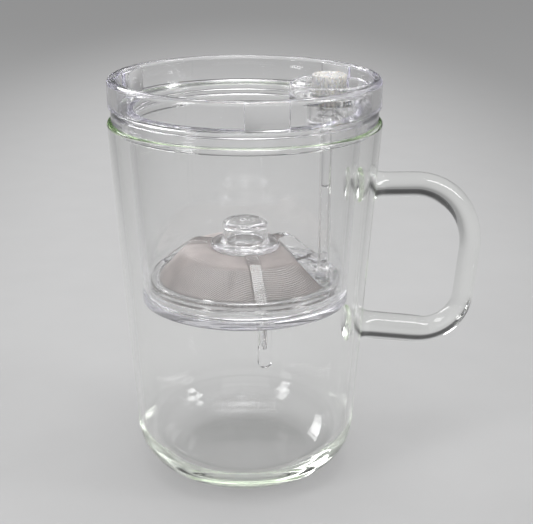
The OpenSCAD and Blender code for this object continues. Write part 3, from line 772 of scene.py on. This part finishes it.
def base_shapes(s):
    """Solids that make up the base cap, and those that are cut away from it."""
    far_gap, overlap = 0.2 * MM, 0.1 * MM
    top = low("base_seal").z
    outer = high("base_cap").x
    bottom = top - s.base_t
    floor, root = bottom + s.floor_t, bottom + s.floor_t / 2
    ring = cup_foot_in(s) - FIT
    ring_in, ring_top = ring - s.spigot_t, top + s.spigot_h
    chimney_top = low("strainer_frame").z + s.chimney_h
    plate = rounded([
        (0, bottom), (outer, bottom, WIDE), (outer, top, WIDE), (ring, top, CRISP), (ring, ring_top, EASED),
        (ring_in, ring_top, EASED), (ring_in, floor, FULL), (0, floor),
    ], closed=False)
    half, hollow = s.chimney_w / 2, s.chimney_w / 2 - s.chimney_wall
    far = math.sqrt(ring ** 2 - half ** 2) - far_gap
    chimney = block(BUTTON_X - half, far, -half, half, root, chimney_top)
    drain, rod = s.drain_d / 2, radius("push_rod") + s.slide_gap
    boss_r, boss_low = drain + s.boss_wall, bottom - s.boss_h
    boss = rounded([(0, boss_low), (boss_r, boss_low, SOFT), (boss_r, root), (0, root)], closed=False)
    adds = [lathe(plate), softened(chimney, SOFT), lathe(boss, SMALL_AROUND, BUTTON_X),
            *grip_shapes(s, bottom)]
    cuts = [
        block(BUTTON_X - hollow, BUTTON_X + hollow, -hollow, hollow, floor, chimney_top - s.guide_h),
        block(BUTTON_X - s.chimney_w, BUTTON_X, -hollow, hollow, floor, ring_top),
    ]
    for r, z0, z1 in ((rod, floor, chimney_top + MM), (drain, boss_low - MM, floor + overlap)):
        cuts.append(lathe([(0, z0), (r, z0), (r, z1), (0, z1)], SMALL_AROUND, BUTTON_X))
    return adds, cuts


def tube_profile(r0, r1, z0, z1):
    """Half section of a tube or flat ring between two radii and two heights."""
    return rounded([(r0, z0, FINE), (r1, z0, CRISP), (r1, z1, CRISP), (r0, z1, FINE)])


class TEAMUG_OT_base(bpy.types.Operator):
    """Moulds the base cap with its chimney, drain and grip tabs, and lays the gasket on it"""

    bl_idname = "tea_mug.base"
    bl_label = "Base cap and gasket"

    def execute(self, context):
        s = context.scene.tea_mug_infuser
        piece("base_clear", combined("base_clear", *base_shapes(s)), "infuser", "clear_plastic", "base_cap")
        gasket = tube_profile(cup_foot_in(s) + s.seam, high("base_seal").x,
                              low("base_seal").z + s.seam, high("base_seal").z - s.seam)
        piece("base_gasket", lathe(gasket), "infuser", "silicone", "base_seal")
        return {"FINISHED"}


class TEAMUG_OT_button(bpy.types.Operator):
    """Turns the fluted button, the tubular rod, the stopper's pin and the soft stopper"""

    bl_idname = "tea_mug.button"
    bl_label = "Button, rod and stopper"

    def execute(self, context):
        b = context.scene.tea_mug_button
        self.make_button(b)
        tube = tube_profile(b.stem_d / 2 + FIT, radius("push_rod"),
                            low("push_rod").z + FIT, high("push_rod").z)
        self.turn("rod_tube", tube, "clear_plastic", "push_rod")
        self.make_valve(b)
        return {"FINISHED"}

    def turn(self, name, profile, slot, node):
        """Piece of the plunger, turned about the button's axis."""
        piece(name, lathe(profile, SMALL_AROUND, BUTTON_X), "plunger", slot, node)

    def make_button(self, b):
        """Frosted button with a dished top, a fluted side and a hollow below, and its clear stem."""
        per_flute, plain_edge, rim_edge, dish_share, tip_share = 12, 0.3 * MM, 0.35 * MM, 1.3, 0.9
        top, stem_low = high("push_button").z, low("push_button").z
        r = radius("push_button")
        stem, roof, skirt, dish = b.stem_d / 2, top - b.roof, top - b.skirt, top - b.dish
        profile = rounded([
            (0, roof), (r - b.wall, roof, EASED), (r - b.wall, skirt, CRISP), (r, skirt, EASED),
            (r, top, FULL), (r - b.rim, top, rim_edge), (r - b.rim * dish_share, dish, SOFT), (0, dish),
        ], closed=False)
        ring = profile[1:-1]
        side = (ring[:, 0] > r - plain_edge) & (ring[:, 1] < top - plain_edge)
        depth = np.where(side, -b.flute / 2, 0.0)
        solid = lathe(profile, b.flutes * per_flute, BUTTON_X, b.flutes, depth)
        piece("button_fluted", solid, "plunger", "frosted_plastic", "push_button", sharp=50)
        pin = rounded([(0, stem_low), (stem, stem_low, stem * tip_share), (stem, roof - FIT, HAIR),
                       (0, roof - FIT)], closed=False)
        self.turn("button_stem", pin, "clear_plastic", "push_button")

    def make_valve(self, b):
        """Pin with a barbed head, and the soft stopper that it carries under the drain."""
        barb_share, cone_share, side_h = 0.77, 0.57, 2.6 * MM
        lo, hi = low("stopper_pin").z, high("stopper_pin").z
        seat, floor = low("valve_stopper").z, high("valve_stopper").z
        rod_low, rod_r = low("push_rod").z, radius("push_rod")
        head, neck, stem = radius("stopper_pin"), b.pin_d / 2, b.stem_d / 2
        pin = rounded([
            (0, lo), (head * barb_share, lo, EASED), (head, seat - FIT, FINE), (neck, seat - FIT, HAIR),
            (neck, floor + FIT, HAIR), (rod_r, floor + FIT, CRISP), (rod_r, rod_low, FINE),
            (stem, rod_low, HAIR), (stem, hi, WIDE), (0, hi),
        ], closed=False)
        self.turn("stopper_pin_clear", pin, "clear_plastic", "stopper_pin")
        r, hole, top = radius("valve_stopper"), neck + FIT, seat + side_h
        cone = rounded([
            (hole, seat, CRISP), (r - MM, seat, FULL), (r, seat + MM, FULL), (r, top, SOFT),
            (r * cone_share, top, SOFT), (neck + MM, floor, EASED), (hole, floor, HAIR),
        ])
        self.turn("valve_stopper_soft", cone, "silicone", "valve_stopper")


class TEAMUG_OT_spring(bpy.types.Operator):
    """Winds the return spring as a fixed coil; the real spring shortens as the button is pressed"""

    bl_idname = "tea_mug.spring"
    bl_label = "Return spring"

    def execute(self, context):
        b = context.scene.tea_mug_button
        per_turn, wire_sides = 28, 10
        lo, hi = low("return_spring"), high("return_spring")
        r = (hi.y - lo.y - b.wire) / 2
        t = np.linspace(0, 1, int(b.turns * per_turn) + 1)
        angle = 2 * np.pi * b.turns * t
        height = lo.z + b.wire / 2 + (hi.z - lo.z - b.wire) * t
        out = np.stack([np.cos(angle), np.sin(angle), np.zeros_like(t)], 1)
        path = out * r + np.stack([np.full_like(t, BUTTON_X), np.zeros_like(t), height], 1)
        ring = arc((0, 0), b.wire / 2, 0, 360, wire_sides)[:-1]
        obj = piece("spring_wire", sweep(path, out, (0, 0, 1), ring), "infuser", "spring_steel",
                    "return_spring", sharp=60)
        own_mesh(obj)
        return {"FINISHED"}


def strainer_levels(s):
    """Named heights and distances of the strainer, from its nodes' boxes."""
    seat = low("strainer_frame").z
    ring = -low("strainer_frame").x
    return {"seat": seat, "ring": ring, "ring_in": ring - s.ring_w, "net_r": -low("strainer_mesh").x,
            "ring_top": seat + s.ring_h, "hub_top": low("strainer_knob").z,
            "edge": seat + s.ring_h - s.net_drop, "plate_top": seat + s.plate_t,
            "chord": high("strainer_mesh").x}


def soft_min(a, b, soft):
    """Smaller of two heights, rounded where they cross."""
    return (a + b - np.sqrt((a - b) ** 2 + soft ** 2)) / 2


def net_height(s, v, x, y):
    """Height of the net: the lowest of three sheets, with softened folds.

    One falls a little from the hub, one slopes down to the ring, and one down to the straight edge.
    """
    r = np.hypot(x, y)
    hub, shoulder = s.hub_d / 2, v["ring_in"] - s.slope_run
    level = v["hub_top"] - s.fall * np.maximum(r - hub, 0) / (shoulder - hub)
    slope = v["edge"] + (v["ring_in"] - r) * (v["hub_top"] - s.fall - v["edge"]) / s.slope_run
    straight = v["plate_top"] + (v["chord"] - x) * (v["hub_top"] - v["plate_top"]) / s.slope_run
    lowest = soft_min(soft_min(level, slope, s.fold), straight, s.fold)
    return np.maximum(lowest, v["seat"] + s.plate_t / 2)


def rib_solid(s, v, azimuth):
    """Rib: a bar with rounded upper edges carried out from the hub.

    Its top is flush under the knob's flange, then level, then falls to the ring. Its underside is on the
    net, or just below its rounded edges where the bar is thinner than they are.
    """
    flange_gap, end_gap, rise_run, side_depth, least = 0.4 * MM, 0.6 * MM, 0.4 * MM, 1.3, 0.1 * MM
    flange = high("strainer_knob").x + flange_gap
    end = v["ring"] - end_gap
    r = np.concatenate([np.linspace(s.hub_d / 2 - MM, flange, 6),
                        np.linspace(flange, flange + rise_run, 9)[1:],
                        np.linspace(flange + rise_run, end, 44)[1:]])
    a = math.radians(azimuth)
    out = np.array([math.cos(a), math.sin(a), 0])
    level = v["hub_top"] + s.rib_h
    fall = (level - v["ring_top"]) / (end - (v["ring_in"] - s.slope_run - s.rib_ease))
    raised = soft_min(np.full_like(r, level), v["ring_top"] + (end - r) * fall, 2 * s.fold)
    step = np.clip((r - flange) / rise_run, 0, 1)
    flush = v["hub_top"] - 2 * HUB_GAP
    top = flush + (raised - flush) * step * step * (3 - 2 * step)
    half, c = s.rib_w / 2, s.rib_round
    net = net_height(s, v, r * out[0], r * out[1])
    bottom = np.minimum(net - s.thread * 2, top - c * side_depth - least)
    edge = np.concatenate([[(half, -c * side_depth)], arc((half - c, -c), c, 0, 90, 6)])
    crown = np.concatenate([edge, edge[::-1] * (-1, 1)])
    crown = crown[None] + np.stack([np.zeros_like(top), top], 1)[:, None]
    foot = np.stack([np.stack([np.full_like(r, x), bottom], 1) for x in (-half, half)], 1)
    return sweep(r[:, None] * out, (-out[1], out[0], 0), (0, 0, 1), np.concatenate([crown, foot], 1))


def strainer_shapes(s, infuser):
    """Solids that make up the strainer's frame, and the notch cut from it for the chimney."""
    plate_lap, notch_gap = 0.6 * MM, 0.4 * MM
    v = strainer_levels(s)
    ring = rounded([(v["ring_in"], v["seat"], EASED), (v["ring"], v["seat"], SOFT),
                    (v["ring"], v["ring_top"], WIDE), (v["ring_in"], v["ring_top"], WIDE)])
    spigot = s.knob_d / 2 - s.knob_wall - FIT
    tip, under, face = high("strainer_frame").z, v["hub_top"] - s.hub_t, v["hub_top"] - HUB_GAP
    hub = rounded([(0, under), (s.hub_d / 2, under, SOFT), (s.hub_d / 2, face, EASED), (spigot, face, CRISP),
                   (spigot, tip, SOFT), (0, tip)], closed=False)
    angle = math.degrees(math.acos((v["chord"] - plate_lap) / v["net_r"]))
    plate = sweep([(0, 0, v["seat"]), (0, 0, v["plate_top"])], (1, 0, 0), (0, 1, 0),
                  arc((0, 0), v["net_r"], -angle, angle, 48))
    adds = [lathe(ring), lathe(hub, MIDDLE_AROUND), softened(plate, CRISP),
            *[rib_solid(s, v, azimuth) for azimuth in TAB_AZIMUTHS]]
    notch = infuser.chimney_w / 2 + notch_gap
    cut = block(BUTTON_X - notch, v["ring"] + MM, -notch, notch, v["seat"] - MM, v["hub_top"])
    return adds, [cut]


def net_solid(s):
    """Woven net: two families of square threads laid over the net's height.

    Each thread runs straight in plan between the ring, the hub and the straight edge, in two spans. Both
    families lie about a thread below the net's height, the second under the first, and where they cross
    they are sunk into each other by a tenth of a thread.
    """
    v = strainer_levels(s)
    edge_gap, hub_lap, stations, lift = 0.1 * MM, 0.5 * MM, 26, 0.9
    far, hub, chord = v["net_r"] - edge_gap, s.hub_d / 2 - hub_lap, v["chord"] - edge_gap
    half = s.thread / 2
    along = np.linspace(0, 1, stations)[None]
    corner = np.array([(-half, -half), (half, -half), (half, half), (-half, half)])
    sides = grid_faces(stations, 4, False, True)
    ends = np.array([[3, 2, 1, 0], [0, 1, 2, 3]]) + np.array([[0], [(stations - 1) * 4]])
    points, faces, count = [], [], 0
    for along_x in (True, False):
        lane = np.arange(-far + s.pitch / 2, far if along_x else chord, s.pitch)
        reach = np.sqrt(np.maximum(far ** 2 - lane ** 2, 0))
        inner = np.sqrt(np.maximum(hub ** 2 - lane ** 2, 0))
        right = np.minimum(reach, chord) if along_x else reach
        side = np.array([0, 1.0, 0]) if along_x else np.array([1.0, 0, 0])
        offset = corner[:, :1] * side + corner[:, 1:] * np.array([0, 0, 1.0])
        for start, stop in ((-reach, -inner), (inner, right)):
            keep = stop - start > s.pitch
            a, b = start[keep, None], stop[keep, None]
            u = a + (b - a) * along
            w = np.broadcast_to(lane[keep, None], u.shape)
            x, y = (u, w) if along_x else (w, u)
            z = net_height(s, v, x, y) + (half * lift if along_x else -half * lift) - s.thread
            tubes = np.stack([x, y, z], -1)[:, :, None] + offset[None, None]
            base = count + np.arange(len(u))[:, None, None] * stations * 4
            faces += [(quads[None] + base).reshape(-1, 4) for quads in (sides, ends)]
            points.append(tubes.reshape(-1, 3))
            count += len(points[-1])
    return np.concatenate(points), np.concatenate(faces).tolist()


def knob_profile(s):
    """Half section of the hollow knob: its inside, flange, side, and top with a small dimple."""
    roof, shoulder = 1.9 * MM, 1.5 * MM
    dimple_r, dimple_in, dimple, dimple_mid = 1.7 * MM, 1.1 * MM, 0.45 * MM, 0.5 * MM
    z0, z1 = low("strainer_knob").z, high("strainer_knob").z
    r, flange = s.knob_d / 2, high("strainer_knob").x
    inner, flange_top = r - s.knob_wall, z0 + s.flange_t
    return rounded([
        (0, z1 - roof), (inner, z1 - roof, BROAD), (inner, z0, CRISP), (flange, z0, SOFT),
        (flange, flange_top, WIDE), (r, flange_top, BROAD), (r, z1, shoulder),
        (dimple_r, z1, EASED), (dimple_in, z1 - dimple, SOFT), (0, z1 - dimple_mid),
    ], closed=False)


class TEAMUG_OT_strainer(bpy.types.Operator):
    """Moulds the strainer's frame, weaves its net and turns its knob"""

    bl_idname = "tea_mug.strainer"
    bl_label = "Strainer"

    def execute(self, context):
        s = context.scene.tea_mug_strainer
        mesh = combined("strainer_clear", *strainer_shapes(s, context.scene.tea_mug_infuser))
        piece("strainer_clear", mesh, "strainer", "clear_plastic", "strainer_frame")
        piece("strainer_net", net_solid(s), "strainer", "nylon_mesh", "strainer_mesh",
              look="nylon_net", sharp=60)
        piece("strainer_knob_clear", lathe(knob_profile(s), MIDDLE_AROUND), "strainer", "clear_plastic",
              "strainer_knob")
        return {"FINISHED"}


def area_light(name, place, wide, tall, power):
    """Soft panel of light at a place, facing the mug."""
    data = bpy.data.lights.new(name, "AREA")
    data.shape = "RECTANGLE"
    data.size, data.size_y = wide, tall
    data.energy = power
    obj = bpy.data.objects.new(name, data)
    obj.location = place
    obj.rotation_mode = "QUATERNION"
    obj.rotation_quaternion = (Vector(PANEL_TARGET) - Vector(place)).to_track_quat("-Z", "Y")
    obj.visible_camera = False
    bpy.context.scene.collection.objects.link(obj)


def floor_finish(s):
    """Floor with a faint uneven tone and a painted pool of light, palest in a long oval round the mug.

    The painted shade beside the pool outlines the glass. What is seen of the floor is partly its plain
    tone and partly lit, so the shadow under the glass stays soft.
    """
    n = Nodes(bpy.data.materials.new("floor"))
    shader = n.add("ShaderNodeBsdfPrincipled", {"Roughness": 0.7, "Specular IOR Level": 0.2})
    tone = n.mixed(n.noise(40, 5.0), toned(s.floor_colour, 0.97), toned(s.floor_colour, 1.03))
    where = n.add("ShaderNodeTexCoord")
    # Painted pool of light: the floor's colour round the mug, fading to the painted shade tone beyond this
    # oval, in both the lit colour and the plain glow
    centre = Vector((-math.sin(s.azimuth), math.cos(s.azimuth), 0)) * s.painted_pool_back
    mapped = n.add("ShaderNodeMapping", {"Location": centre, "Rotation": (0, 0, s.azimuth),
                                         "Scale": (s.painted_pool_wide, s.painted_pool_long, 1)}, vector_type="TEXTURE")
    away = n.add("ShaderNodeVectorMath", operation="LENGTH")
    painted_light_fade = n.add("ShaderNodeMapRange", {"From Min": 0.25, "From Max": 1.0}, interpolation_type="SMOOTHSTEP")
    n.link(where.outputs["Object"], mapped.inputs["Vector"])
    n.link(mapped.outputs["Vector"], away.inputs[0])
    n.link(away.outputs["Value"], painted_light_fade.inputs["Value"])
    pool = n.mixed(painted_light_fade.outputs["Result"], b=toned(s.floor_colour, s.painted_shade_tone))
    n.link(tone.outputs["Result"], pool.inputs["A"])
    n.link(pool.outputs["Result"], shader.inputs["Base Color"])
    plain = n.add("ShaderNodeEmission", {"Strength": 1.0})
    n.link(pool.outputs["Result"], plain.inputs["Color"])
    ray = n.add("ShaderNodeLightPath")
    seen = ray.outputs["Is Camera Ray"]
    for kind in ("Is Glossy Ray", "Is Transmission Ray"):
        either = n.add("ShaderNodeMath", operation="MAXIMUM")
        n.link(seen, either.inputs[0])
        n.link(ray.outputs[kind], either.inputs[1])
        seen = either.outputs["Value"]
    part = n.add("ShaderNodeMath", {1: s.plain_part}, operation="MULTIPLY")
    n.link(seen, part.inputs[0])
    both = n.add("ShaderNodeMixShader")
    n.link(part.outputs["Value"], both.inputs["Fac"])
    n.link(shader.outputs["BSDF"], both.inputs[1])
    n.link(plain.outputs["Emission"], both.inputs[2])
    n.link(both.outputs["Shader"], n.out.inputs["Surface"])
    return n.owner


class TEAMUG_OT_stage(bpy.types.Operator):
    """Sets the camera, the pale floor, the soft light and the plain surroundings"""

    bl_idname = "tea_mug.stage"
    bl_label = "Stage"

    def execute(self, context):
        s = context.scene.tea_mug_stage
        self.place_camera(s)
        self.lay_floor(s)
        for name, panel in PANELS.items():
            area_light(name, *panel)
        self.surround(s)
        context.scene.view_settings.view_transform = "Standard"
        for kind in ("max_bounces", "transmission_bounces", "glossy_bounces"):
            setattr(context.scene.cycles, kind, BOUNCES)
        return {"FINISHED"}

    def place_camera(self, s):
        """Camera from its distance, height and angles, with its roll about the line of sight."""
        data = bpy.data.cameras.new("camera")
        data.lens = s.lens
        data.sensor_width = 36.0
        data.clip_start = 0.01
        camera = bpy.data.objects.new("camera", data)
        bpy.context.scene.collection.objects.link(camera)
        a, level = s.azimuth - s.yaw, math.cos(s.pitch)
        forward = Vector((-math.sin(a) * level, math.cos(a) * level, -math.sin(s.pitch)))
        right = forward.cross(Vector((0, 0, 1))).normalized()
        up = right.cross(forward)
        right, up = (right * math.cos(s.roll) + up * math.sin(s.roll),
                     up * math.cos(s.roll) - right * math.sin(s.roll))
        turn = Matrix((right, up, -forward)).transposed().to_4x4()
        place = Vector((math.sin(s.azimuth) * s.distance, -math.cos(s.azimuth) * s.distance, s.height))
        camera.matrix_world = Matrix.Translation(place) @ turn
        bpy.context.scene.camera = camera

    def lay_floor(self, s):
        """Wide flat floor, a hair below the mug's foot."""
        mesh = bpy.data.meshes.new("floor")
        corners = [(x * FLOOR_HALF, y * FLOOR_HALF, 0) for x, y in ((-1, -1), (1, -1), (1, 1), (-1, 1))]
        mesh.from_pydata(corners, [], [(0, 1, 2, 3)])
        mesh.materials.append(floor_finish(s))
        floor = bpy.data.objects.new("floor", mesh)
        floor.location.z = -FLOOR_DROP
        bpy.context.scene.collection.objects.link(floor)

    def surround(self, s):
        """Grey surround that is lighter overhead.

        Seen directly, it has the floor's painted shade tone from beyond its painted pool of light, so the
        horizon hardly shows.
        """
        n = Nodes(bpy.data.worlds.new("surround"), "ShaderNodeOutputWorld")
        bpy.context.scene.world = n.owner
        back = n.add("ShaderNodeBackground")
        where = n.add("ShaderNodeTexCoord")
        split = n.add("ShaderNodeSeparateXYZ")
        ramp = n.add("ShaderNodeValToRGB")
        stops = ramp.color_ramp.elements
        while len(stops) < len(SURROUND):
            stops.new(1.0)
        for stop, (place, tone) in zip(stops, SURROUND):
            stop.position = place
            stop.color = (tone, tone, tone * 1.02, 1)
        n.link(where.outputs["Generated"], split.inputs["Vector"])
        n.link(split.outputs["Z"], ramp.inputs["Fac"])
        n.link(ramp.outputs["Color"], back.inputs["Color"])
        # Backdrop seen by the camera: the painted shade tone of the floor beyond its painted pool of light
        seen = n.add("ShaderNodeBackground", {"Color": toned(s.floor_colour, s.painted_shade_tone)})
        ray = n.add("ShaderNodeLightPath")
        both = n.add("ShaderNodeMixShader")
        n.link(ray.outputs["Is Camera Ray"], both.inputs["Fac"])
        n.link(back.outputs["Background"], both.inputs[1])
        n.link(seen.outputs["Background"], both.inputs[2])
        n.link(both.outputs["Shader"], n.out.inputs["Surface"])


GROUPS = {
    "tea_mug_mug": MugSizes,
    "tea_mug_infuser": InfuserSizes,
    "tea_mug_button": ButtonSizes,
    "tea_mug_strainer": StrainerSizes,
    "tea_mug_finishes": Finishes,
    "tea_mug_stage": StageSizes,
}
OPERATORS = (TEAMUG_OT_mug, TEAMUG_OT_cup, TEAMUG_OT_collar, TEAMUG_OT_base, TEAMUG_OT_button,
             TEAMUG_OT_spring, TEAMUG_OT_strainer, TEAMUG_OT_stage)


class TEAMUG_PT_panel(bpy.types.Panel):
    """Lists the pieces of the mug"""

    bl_label = "Tea Mug"
    bl_idname = "TEAMUG_PT_panel"
    bl_space_type = "VIEW_3D"
    bl_region_type = "UI"
    bl_category = "Tea Mug"

    def draw(self, context):
        for operator in OPERATORS:
            self.layout.operator(operator.bl_idname)
        for group in GROUPS:
            values = getattr(context.scene, group)
            box = self.layout.box()
            for key in values.bl_rna.properties.keys():
                if key not in ("rna_type", "name"):
                    box.prop(values, key)


def register():
    """Registers the classes and hangs the property groups on the scene."""
    for cls in (*GROUPS.values(), *OPERATORS, TEAMUG_PT_panel):
        bpy.utils.register_class(cls)
    for key, cls in GROUPS.items():
        setattr(bpy.types.Scene, key, PointerProperty(type=cls))


def unregister():
    """Takes off what register put on."""
    for key in GROUPS:
        delattr(bpy.types.Scene, key)
    for cls in (TEAMUG_PT_panel, *reversed(OPERATORS), *reversed(GROUPS.values())):
        bpy.utils.unregister_class(cls)


def main():
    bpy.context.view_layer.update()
    register()
    for operator in OPERATORS:
        group, name = operator.bl_idname.split(".")
        getattr(getattr(bpy.ops, group), name)()


if __name__ == "__main__":
    main()
